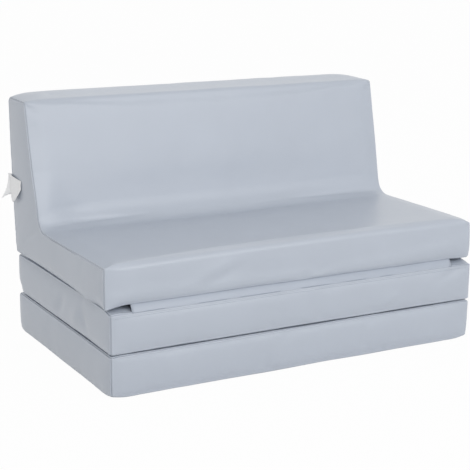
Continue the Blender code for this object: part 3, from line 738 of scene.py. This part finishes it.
def make_sofa(folds):
    """The L shaped seat's cover as one closed form: a box lattice bent along the seat and backrest."""
    sections = sofa_sections()
    outlines = [outline(inset, share) for _, inset, share in sections]
    last_i, last_j, last_k = len(sections) - 1, len(outlines[0][0]) - 1, len(outlines[0][2]) - 1
    seam_at = SIDE_ANGLES.index(SEAM_ANGLE)
    first_foot = len(LAST_HALF) - 1 + SEAT_CELLS
    foot_seam = first_foot + WHOLE_TURN.index(0.5)
    first_rear = first_foot + len(WHOLE_TURN) - 1
    slot_rows = {first_rear + index for index, share in enumerate(REAR_SHARES)
                 if SLOT_LOW + THREAD_RADIUS < share * REAR_LENGTH < SLOT_HIGH - THREAD_RADIUS}

    def on_seam(i, j, k):
        between = seam_at < i < last_i - seam_at
        return i in (seam_at, last_i - seam_at) or (between and k == 0 and j in (0, foot_seam, last_j))

    def place(i, j, k):
        across = sections[i][0]
        inner, outer, face, top = outlines[i]
        if k in (0, last_k):
            point = (outer if k == 0 else inner)[j]
        elif j in (0, last_j):
            point = (face if j == 0 else top)[k]
        else:
            point = side_point(outlines[i], j, k)
            across = math.copysign(abs(across) + side_bulge(outlines[i], point), across)
        return Vector((across, point.x, softened_height(across, point)))

    item, keys = lattice_skin("sofa_cushion", (last_i, last_j, last_k), place)
    mark_seam(item, [on_seam(*key) for key in keys])
    sunk = [ZIP_SINK if k == 0 and j in slot_rows and seam_at < i < last_i - seam_at else 0
            for i, j, k in keys]
    set_coordinates(item.data, coordinates(item.data) - normals(item.data) * np.array(sunk)[:, None])
    finish_cushion(item, "sofa_block", folds, SOFA_BASE)
    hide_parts("seat_foam", "backrest_foam", "sofa_wrap_panel", "sofa_left_panel", "sofa_right_panel",
                "sofa_rear_upper_panel", "sofa_rear_lower_panel", "sofa_base_panel")
    return item


# Soft unevenness, folds and dents


def fold(start, end, half_width, height):
    """A soft ridge, or a hollow if the height is negative, that fades out at both ends of its line.

    The height is along the surface's normal, or else a vector that pushes the cloth.
    """
    return Vector(start), Vector(end), half_width, height


def dent(place, half_width, push):
    """A rounded spot, pushed by a vector."""
    return fold(place, place, half_width, Vector(push))


def sculpt(item, folds):
    """Uneven the faces a little and lay the folds on them."""
    points, facing = coordinates(item.data), normals(item.data)
    uneven = np.array([sum(height * noise.noise(Vector(point) * rate) for height, rate in UNEVENNESS)
                       for point in points])
    moved = facing * uneven[:, None]
    for start, end, half_width, height in folds:
        run = np.array(end - start)
        share = np.clip((points - np.array(start)) @ run / max(run @ run, TINY), 0, 1)
        away = np.linalg.norm(points - np.array(start) - share[:, None] * run, axis=1)
        fade = 1
        if run @ run > TINY:
            fade = np.sin(math.pi * (FOLD_END_SHARE + (1 - 2 * FOLD_END_SHARE) * share))
        push = np.array(height) if isinstance(height, Vector) else facing * height
        moved += push * (fade * np.exp(-(away / half_width) ** 2))[:, None]
    set_coordinates(item.data, points + moved)


def rest_flat(item, lowest, highest):
    """Keep what rests on something flat, or carries it, from passing through."""
    points = coordinates(item.data)
    points[:, 2] = np.clip(points[:, 2], lowest, highest)
    set_coordinates(item.data, points)


def finish_cushion(item, body, folds, lowest, highest=math.inf):
    """Swell, fold, sew and dress a cover, which its foam fills."""
    samples = seam_samples(item)
    swell(item)
    subdivide(item)
    away = seam_distances(item, samples)
    sculpt(item, folds)
    sew(item, away)
    rest_flat(item, lowest, highest)
    dress(item, LEATHER, body)


# Places on the cushions' faces


def face_tree(item):
    return BVHTree.FromPolygons(coordinates(item.data).tolist(),
                                [tuple(face.vertices) for face in item.data.polygons])


def face_point(tree, place, heading):
    """Where a ray from outside meets the cushion, and its outward normal there."""
    heading = Vector(heading)
    found, normal, _, _ = tree.ray_cast(Vector(place) - heading, heading)
    return found, (normal if normal.dot(heading) < 0 else -normal)


def rear_point(tree, x, z):
    return face_point(tree, (x, HINGE_Y, z), (0, -1, 0))


# Stitches and zip teeth

# Rings of a bead, from end to end: places as shares of its length, and shares of its radius
BEAD_RINGS = ((-0.5, 0.45), (-0.34, 1), (0.34, 1), (0.5, 0.45))
BEAD_SIDES = 6


def bead(length, radius):
    """Points and faces of a small bead lying along X."""
    turns = [2 * math.pi * side / BEAD_SIDES for side in range(BEAD_SIDES)]
    points = [(length * along, radius * wide * math.cos(turn), radius * wide * math.sin(turn))
              for along, wide in BEAD_RINGS for turn in turns]
    first, last = range(BEAD_SIDES), range(len(points) - BEAD_SIDES, len(points))
    faces = [tuple(reversed(first)), tuple(last)]
    for start in range(0, last[0], BEAD_SIDES):
        for side in first:
            after = (side + 1) % BEAD_SIDES
            faces.append((start + side, start + after, start + BEAD_SIDES + after, start + BEAD_SIDES + side))
    return np.array(points), faces


def beads(name, places, length, radius):
    """One bead at each place: (centre, heading, normal)."""
    shape, ring = bead(length, radius)
    points, faces = [], []
    for centre, heading, normal in places:
        along = heading.normalized()
        aside = normal.cross(along).normalized()
        axes = np.array([along, aside, along.cross(aside)])
        faces += [tuple(len(points) + corner for corner in face) for face in ring]
        points += (shape @ axes + np.array(centre)).tolist()
    return mesh_object(name, points, faces)


def stitch_row(route, pitch=STITCH_PITCH):
    """Stitches along a route of (point, normal) pairs, one pitch apart."""
    places, left = [], pitch / 2
    for (here, normal), (there, _) in zip(route, route[1:]):
        step = there - here
        while left < step.length:
            lift = normal * THREAD_RADIUS * THREAD_LIFT_SHARE
            places.append((here + step * (left / step.length) + lift, step, normal))
            left += pitch
        left -= step.length
    return places


# Zips and their patches


def make_zip(prefix, body, tree, height):
    """A woven tape in the slot and two rows of nylon teeth on it."""
    def place(i, j, k):
        x = TAPE_REACH * (2 * i / TAPE_COLUMNS - 1)
        across = TAPE_HALF_WIDTH * (j / 2 - 1)
        floor, normal = rear_point(tree, x, height + across * SLOT_FLOOR_SHARE)
        return Vector((floor.x, floor.y, height + across)) + normal * TAPE_THICKNESS * (k + SHIFT_SHARE)

    tape, _ = lattice_skin(prefix + "_zip_tape", (TAPE_COLUMNS, 4, 1), place)
    dress(tape, TAPE, body)
    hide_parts(prefix + "_zip")
    teeth = []
    end = PAD_HALF_WIDTH - ZIP_END_MARGIN
    for index in range(int(2 * end / TOOTH_PITCH)):
        for side in (-1, 1):
            x = -end + TOOTH_PITCH * (index + (side > 0) / 2)
            floor, normal = rear_point(tree, x, height)
            centre = floor + normal * (TAPE_THICKNESS * (1 + SHIFT_SHARE) + TOOTH_LIFT)
            teeth.append((centre + Vector((0, 0, side * TOOTH_LENGTH * TOOTH_OFFSET_SHARE)),
                          Vector((TOOTH_LEAN * side, 0, 1)), normal))
    dress(beads(prefix + "_zip_coil", teeth, TOOTH_LENGTH, TOOTH_RADIUS), COIL, body)


def make_patch(prefix, body, tree, height):
    """A sewn patch, domed over the parked slider; gives its middle and the route of its stitches."""
    middle = sum(corner.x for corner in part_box(prefix + "_zip_patch")) / 2
    slider_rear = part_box(prefix + "_zip_slider")[1].y + PATCH_CLEARANCE

    def panel_y(x):
        return max(rear_point(tree, x, height + side * PATCH_EDGE_SAMPLE)[0].y for side in (-1, 1))

    def on_patch(along, across, rise):
        x = middle + PATCH_HALF_LENGTH * along
        z = height + PATCH_HALF_WIDTH * across
        lean = (rear_point(tree, x, height + PATCH_HALF_WIDTH)[0].y
                - rear_point(tree, x, height - PATCH_HALF_WIDTH)[0].y) / 2
        dome = (1 - abs(along) ** PATCH_DOME_POWERS[0]) * (1 - abs(across) ** PATCH_DOME_POWERS[1])
        edge = panel_y(x) + lean * across * (across * lean < 0)
        return Vector((x, edge + max(PATCH_RISE, slider_rear - edge) * dome + rise, z))

    def place(i, j, k):
        along, across = 2 * i / PATCH_CELLS - 1, 2 * j / PATCH_CELLS - 1
        rounded = 1 - PATCH_ROUNDING * (along * across) ** 2
        return on_patch(along * rounded, across * rounded, PATCH_THICKNESS * (k - SHIFT_SHARE))

    patch, _ = lattice_skin(prefix + "_zip_patch_cloth", (PATCH_CELLS, PATCH_CELLS, 1), place)
    dress(patch, LEATHER, body)
    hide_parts(prefix + "_zip_patch")
    corners = [Vector(corner) * PATCH_STITCH_INSET
               for corner in ((-1, -1), (1, -1), (1, 1), (-1, 1), (-1, -1))]
    route = [(on_patch(*before.lerp(after, step / PATCH_STITCH_STEPS), PATCH_THICKNESS), Vector((0, 1, 0)))
             for before, after in zip(corners, corners[1:]) for step in range(PATCH_STITCH_STEPS)]
    return middle, route + [route[0]]


def make_zip_stitches(prefix, body, tree, height, middle, patch_route):
    """Stitches round the patch, and along both edges of the slot except under the patch."""
    places = stitch_row(patch_route, PATCH_STITCH_PITCH)
    covered = PATCH_HALF_LENGTH + PATCH_MARGIN
    reach = TAPE_REACH - SLOT_STITCH_MARGIN
    for side in (-1, 1):
        z = height + side * (ZIP_SLOT / 2 + SLOT_STITCH_OFFSET)
        line = [rear_point(tree, x, z) for x in np.linspace(-reach, reach, SLOT_STITCH_SAMPLES)]
        places += [place for place in stitch_row(line) if abs(place[0].x - middle) > covered]
    dress(beads(prefix + "_zip_stitches", places, ZIP_STITCH_LENGTH, THREAD_RADIUS), THREAD,
          body)


def make_topstitch(tree):
    """A row of stitches below the middle pad's top front seam."""
    reach, height = PAD_HALF_WIDTH - TOPSTITCH_MARGIN, MIDDLE_TOP - TOPSTITCH_DROP
    route = [face_point(tree, (x, -PAD_HALF_DEPTH, height), (0, 1, 0))
             for x in np.linspace(-reach, reach, TOPSTITCH_SAMPLES)]
    dress(beads("middle_topstitch", stitch_row(route), STITCH_LENGTH, THREAD_RADIUS), THREAD,
          "middle_pad")


# Hinge flaps


def flap_skin(name, ends, rows, path):
    """A hemmed strip of the cover's cloth between two seams; path(x, share) gives its place and normal."""
    def place(i, j, k):
        x = ends[0] + (ends[1] - ends[0]) * i / FLAP_COLUMNS
        spot, normal = path(x, rows[j])
        hem = HEM_RISE if min(x - ends[0], ends[1] - x) < HEM_WIDTH else 0
        wave = FLAP_WAVE * noise.noise(Vector((x * FLAP_WAVE_RATE, 0, 0)))
        return spot + normal * ((FLAP_THICKNESS + hem) * (k - 0.5) + wave)

    item, _ = lattice_skin(name, (FLAP_COLUMNS, len(rows) - 1, 1), place)
    # The flap gets the covers' leather with shade painted darker into its colour
    dress(item, FLAP_SHADED_LEATHER)
    return item


def pad_seam(base, crowns, x, side, top):
    box = Vector((x, side * PAD_HALF.y, PAD_HALF.z if top else -PAD_HALF.z))
    return Vector((0, 0, base + PAD_HALF.z)) + pad_surface(box, crowns, -FLAP_EMBED)


def make_front_flap():
    """From the middle pad's top front seam to the seat's lower front seam."""
    seat = arc_points(FRONT_BOTTOM, 0, 1, (0.5,))[0]

    def path(x, share):
        start = pad_seam(MIDDLE_BASE, MIDDLE_CROWNS, x, -1, True)
        start.x = x
        end = Vector((x, seat.x + FRONT_FLAP_TUCK, SOFA_BASE + seat.y + FRONT_FLAP_TUCK))
        run = end - start
        normal = Vector((0, -run.z, run.y)).normalized()
        return start + run * share + normal * FLAP_BOW * 4 * share * (1 - share), normal

    rows = (0, 0.1, 0.2, 0.3, 0.4, 0.6, 0.7, 0.8, 0.9, 1)
    item = flap_skin("front_flap", FRONT_FLAP_ENDS, rows, path)
    start, end = [path(0, share)[0] for share in FRONT_BLEND_SHARES]
    span = path(0, 1)[0] - path(0, 0)[0]
    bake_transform(item)
    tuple(start)
    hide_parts("front_hinge_flap")


def make_rear_flap():
    """From the bottom pad's top rear seam out to the hinge line and back to the middle pad's seam."""
    low = pad_seam(BOTTOM_BASE, BOTTOM_CROWNS, 0, 1, True)
    high = pad_seam(MIDDLE_BASE, MIDDLE_CROWNS, 0, 1, False)
    half_height = (high.z - low.z) / 2 - FLAP_THICKNESS
    middle_height = (high.z + low.z) / 2
    reach = HINGE_Y - FLAP_THICKNESS - low.y

    def path(x, share):
        t = 2 * share - 1
        y = low.y + reach * (1 - abs(t) ** REAR_FLAP_ROUNDNESS)
        steepness = REAR_FLAP_ROUNDNESS * abs(t) ** (REAR_FLAP_ROUNDNESS - 1)
        slope = Vector((0, -reach * math.copysign(steepness, t), half_height))
        normal = Vector((0, slope.z, -slope.y)).normalized()
        return Vector((x, y, middle_height + half_height * t)), normal

    rows = [n / REAR_FLAP_CELLS for n in range(REAR_FLAP_CELLS + 1)]
    item = flap_skin("rear_flap", REAR_FLAP_ENDS, rows, path)
    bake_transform(item)
    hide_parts("rear_hinge_flap")
    length = path_length([path(0, share)[0] for share in rows])


# Care label

LABEL_THICKNESS = 0.0006
LABEL_WAVE = 0.0008
LABEL_WAVE_TURNS = (9, 4)
LABEL_STEP = 0.01
LABEL_STITCH_SHARE = 0.64
LABEL_STITCH_MARGIN = 0.04
LABEL_STITCH_SCALE = 0.6
# Along the tape from its forward end to its rear end: (Y, outward from the side, top Z, bottom Z,
# how far the lower edge curls outward)
LABEL_COLUMNS = (
    (0.2165, 0.0060, 0.4065, 0.3850, 0.000),
    (0.2330, 0.0070, 0.4072, 0.3620, 0.005),
    (0.2490, 0.0070, 0.4082, 0.3485, 0.008),
    (0.2720, 0.0065, 0.4096, 0.3520, 0.005),
    (0.2890, 0.0055, 0.4106, 0.3560, 0.001),
    (0.2945, -0.0010, 0.4110, 0.3570, 0.000),
    (0.3010, 0.0030, 0.4115, 0.3575, 0.006),
    (0.3060, 0.0060, 0.4120, 0.3480, 0.020),
)


def smooth_row(rows, share):
    """A smooth curve through rows of values, read at a share of its length."""
    place = share * (len(rows) - 1)
    index = min(int(place), len(rows) - 2)
    t = place - index
    a, b, c, d = [np.array(rows[min(max(index + step, 0), len(rows) - 1)]) for step in (-1, 0, 1, 2)]
    return 0.5 * (2 * b + (c - a) * t + (2 * a - 5 * b + 4 * c - d) * t * t
                  + (3 * b - a - 3 * c + d) * t ** 3)


def label_point(along, up):
    """A place on the tape at shares of its length and of its height."""
    y, out, top, low, curl = smooth_row(LABEL_COLUMNS, along)
    wave = LABEL_WAVE * math.sin(LABEL_WAVE_TURNS[0] * along + LABEL_WAVE_TURNS[1] * up)
    return Vector((-SOFA_HALF_WIDTH - out - curl * (1 - up) ** 2 - wave, y, low + (top - low) * up))


def make_label():
    """A bare folded tape in the rear left seam: one leaf lies forward, one hangs rearward."""
    columns, rows = 36, 16

    def place(i, j, k):
        along, up = i / columns, j / rows
        tilt = label_point(min(along + LABEL_STEP, 1), up) - label_point(max(along - LABEL_STEP, 0), up)
        rise = label_point(along, min(up + LABEL_STEP, 1)) - label_point(along, max(up - LABEL_STEP, 0))
        return label_point(along, up) + tilt.cross(rise).normalized() * LABEL_THICKNESS * (k - 0.5)

    item, _ = lattice_skin("label_tape", (columns, rows, 1), place)
    dress(item, SATIN, "sofa_block")
    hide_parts("care_label")
    length = path_length([label_point(n / columns, 0.5) for n in range(columns + 1)])
    width = (label_point(0.5, 1) - label_point(0.5, 0)).length
    route = [(label_point(LABEL_STITCH_SHARE, up), Vector((-1, 0, 0)))
             for up in np.linspace(LABEL_STITCH_MARGIN, 1 - LABEL_STITCH_MARGIN, 13)]
    places = stitch_row(route, STITCH_PITCH * LABEL_STITCH_SCALE)
    dress(beads("label_stitches", places, STITCH_LENGTH * LABEL_STITCH_SCALE, THREAD_RADIUS), THREAD,
          "sofa_block")


# Stage, light and camera

# Lamps: name, place, target, size, power and colour
LAMPS = (
    ("key", (0.7, -5.9, 3.3), (0, 0, 0.3), (6.4, 4.5), 192, (1, 1, 1)),
    ("fill", (-3.2, -1.0, 1.6), (0, 0, 0.3), (2, 2), 7, (1, 0.94, 0.84)),
    ("rim", (1.4, 2.4, 2.6), (0, 0.2, 0.5), (2, 2), 5, (1, 1, 1)),
)
WORLD_LEVEL = 0.65
FLOOR_COLOUR = (0.72, 0.72, 0.72)
FLOOR_GLOW = 0.97
FLOOR_SIZE = 60
FLOOR_THICKNESS = 0.1


def add_lamp(name, place, target, size, power, colour):
    lamp = bpy.data.lights.new(name, "AREA")
    lamp.color = colour
    lamp.shape = "RECTANGLE"
    lamp.size, lamp.size_y = size
    lamp.energy = power
    item = add_object(name, lamp)
    item.location = place
    item.rotation_euler = (Vector(target) - Vector(place)).to_track_quat("-Z", "Y").to_euler()


def sees_background(tree):
    """1 for camera, glossy and transmission rays, which see the white background."""
    path = new_node(tree, "LightPath")
    total = path.outputs["Is Camera Ray"]
    for name in ("Is Glossy Ray", "Is Transmission Ray"):
        add = new_node(tree, "Math", operation="ADD", use_clamp=True)
        tree.links.new(total, add.inputs[0])
        tree.links.new(path.outputs[name], add.inputs[1])
        total = add.outputs["Value"]
    return total


def make_floor():
    half = FLOOR_SIZE / 2
    floor, _ = lattice_skin("floor", (1, 1, 1), lambda i, j, k: Vector(
        (half * (2 * i - 1), half * (2 * j - 1), FLOOR_THICKNESS * (k - 1))))
    floor.data.shade_flat()
    made, tree, shader, _ = blank_material("pale_floor", roughness=0.9, specular=0.2)
    shader.inputs["Base Color"].default_value = (*FLOOR_COLOUR, 1)
    glow = new_node(tree, "Emission", Color=(1, 1, 1, 1), Strength=1)
    mix = new_node(tree, "MixShader")
    share = spread(tree, sees_background(tree), low=0, high=FLOOR_GLOW)
    tree.links.new(share, mix.inputs["Fac"])
    tree.links.new(shader.outputs["BSDF"], mix.inputs[1])
    tree.links.new(glow.outputs["Emission"], mix.inputs[2])
    tree.links.new(mix.outputs["Shader"], tree.nodes["Material Output"].inputs["Surface"])
    floor.data.materials.append(made)


def make_world():
    world = bpy.data.worlds.new("studio")
    bpy.context.scene.world = world
    world.use_nodes = True
    tree = world.node_tree
    background = tree.nodes["Background"]
    background.inputs["Color"].default_value = (1, 1, 1, 1)
    strength = spread(tree, sees_background(tree), low=WORLD_LEVEL, high=1)
    tree.links.new(strength, background.inputs["Strength"])


# The camera's place, turn and lens, fitted to the sofa's outline in the photograph
CAMERA_PLACE = (-1.6336, -2.8999, 1.0866)
CAMERA_YAW = 0.5066
CAMERA_PITCH = 0.243
CAMERA_ROLL = 0.0119
FOCAL_PIXELS = 1347.8
IMAGE_PIXELS = 470
SENSOR_WIDTH = 36


def make_camera():
    camera = bpy.data.cameras.new("camera")
    camera.sensor_width = SENSOR_WIDTH
    camera.lens = FOCAL_PIXELS / IMAGE_PIXELS * SENSOR_WIDTH
    item = add_object("camera", camera)
    turn = (Matrix.Rotation(-CAMERA_YAW, 4, "Z") @ Matrix.Rotation(math.pi / 2 - CAMERA_PITCH, 4, "X")
            @ Matrix.Rotation(CAMERA_ROLL, 4, "Z"))
    item.matrix_world = Matrix.Translation(CAMERA_PLACE) @ turn
    bpy.context.scene.camera = item


# How far each pad's edges lie off its middle, and each cushion's folds and dents
BOTTOM_CROWNS = (0.0026, 0.0016, 0.0014, 0)
MIDDLE_CROWNS = (0.0012, 0.0075, 0.002, 0.0006)
BOTTOM_FOLDS = (
    fold((-0.5, 0.1, 0.045), (-0.5, 0.02, 0.065), 0.02, -0.0012),
    fold((-0.42, -0.2925, 0.03), (-0.3, -0.2925, 0.07), 0.022, 0.0008),
    dent((-0.5, -0.2925, 0), 0.026, (0.002, 0.002, 0.0055)),
    dent((-0.5, 0.2925, 0), 0.02, (0.002, -0.003, 0.005)),
    dent((0.5, -0.2925, 0), 0.026, (-0.002, 0.002, 0.0045)),
)
MIDDLE_FOLDS = (
    fold((-0.5, 0.02, 0.128), (-0.5, -0.02, 0.165), 0.014, -0.004),
    fold((-0.5, -0.07, 0.12), (-0.5, -0.115, 0.16), 0.018, 0.0034),
    fold((-0.5, -0.16, 0.125), (-0.5, -0.125, 0.175), 0.016, -0.0034),
    dent((-0.5, 0.2925, 0.106), 0.022, (0.004, -0.009, 0.007)),
    fold((-0.5, -0.13, 0.2045), (-0.5, 0.27, 0.2045), 0.02, -0.0036),
    fold((-0.485, -0.284, 0.201), (-0.466, -0.284, 0.201), 0.012, 0.002),
    fold((-0.46, -0.235, 0.2045), (-0.41, -0.235, 0.2045), 0.026, -0.004),
    fold((0.425, -0.235, 0.2045), (0.465, -0.235, 0.2045), 0.026, -0.004),
    fold((0.24, -0.2925, 0.128), (0.27, -0.2925, 0.155), 0.012, 0.0026),
    fold((0.393, -0.2925, 0.165), (0.486, -0.2925, 0.193), 0.011, -0.003),
    fold((-0.15, -0.2925, 0.12), (0, -0.2925, 0.17), 0.03, -0.0008),
)
SOFA_FOLDS = (
    fold((-0.299, -0.2865, 0.241), (-0.182, -0.2865, 0.281), 0.016, 0.003),
    fold((-0.26, -0.2865, 0.235), (-0.15, -0.2865, 0.268), 0.014, -0.0026),
    fold((-0.47, -0.2794, 0.2146), (0.45, -0.2794, 0.2146), 0.012, -0.001),
    fold((-0.49, -0.262, 0.2085), (-0.43, -0.262, 0.2085), 0.016, -0.003),
    fold((-0.42, -0.2835, 0.309), (0.4, -0.2835, 0.309), 0.05, Vector((0, 0, 0.0055))),
    fold((-0.42, 0.085, 0.307), (0.42, 0.085, 0.307), 0.055, Vector((0, 0, -0.0035))),
    fold((-0.5065, 0.15, 0.44), (-0.5065, 0.115, 0.24), 0.065, Vector((0, -0.013, 0.002))),
    fold((-0.4, 0.143, 0.38), (0.44, 0.143, 0.38), 0.042, -0.0022),
    dent((0.5065, -0.2835, 0.21), 0.02, (-0.003, 0.002, 0.004)),
    dent((0.5085, -0.2835, 0.268), 0.056, (-0.0042, 0, 0)),
    fold((-0.465, -0.235, 0.2085), (-0.41, -0.235, 0.2085), 0.026, -0.0055),
    fold((0.425, -0.235, 0.2085), (0.47, -0.235, 0.2085), 0.026, -0.0055),
    dent((0.5065, -0.2835, 0.306), 0.024, (-0.001, 0.002, -0.0035)),
    fold((-0.43, 0.135, 0.345), (-0.36, 0.131, 0.325), 0.016, -0.002),
    fold((-0.47, 0.12, 0.322), (-0.4, 0.105, 0.309), 0.013, 0.0016),
    fold((0.3, 0.126, 0.318), (0.42, 0.128, 0.322), 0.014, -0.0012),
    fold((-0.5065, -0.1, 0.245), (-0.5065, 0.02, 0.275), 0.028, -0.0014),
    fold((-0.5065, -0.14, 0.21), (-0.5065, 0.27, 0.21), 0.018, -0.0048),
    fold((-0.5065, -0.275, 0.21), (-0.5065, -0.215, 0.21), 0.014, -0.0034),
)
bottom = make_pad("bottom", BOTTOM_BASE, BOTTOM_CROWNS, BOTTOM_FOLDS)
middle = make_pad("middle", MIDDLE_BASE, MIDDLE_CROWNS, MIDDLE_FOLDS)
sofa = make_sofa(SOFA_FOLDS)

for prefix, body, cushion, zip_height in (
        ("bottom", "bottom_pad", bottom, BOTTOM_BASE + PAD_HALF.z),
        ("middle", "middle_pad", middle, MIDDLE_BASE + PAD_HALF.z),
        ("sofa", "sofa_block", sofa, sum(corner.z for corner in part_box("sofa_zip")) / 2)):
    faces = face_tree(cushion)
    make_zip(prefix, body, faces, zip_height)
    patch_middle, patch_route = make_patch(prefix, body, faces, zip_height)
    make_zip_stitches(prefix, body, faces, zip_height, patch_middle, patch_route)
    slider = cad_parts[prefix + "_zip_slider"]
    slider.material_slots[0].material = SLIDER
make_front_flap()
make_rear_flap()
make_label()
make_topstitch(face_tree(middle))

make_floor()
make_world()
make_camera()
for lamp_values in LAMPS:
    add_lamp(*lamp_values)
bpy.context.scene.view_settings.view_transform = "Standard"
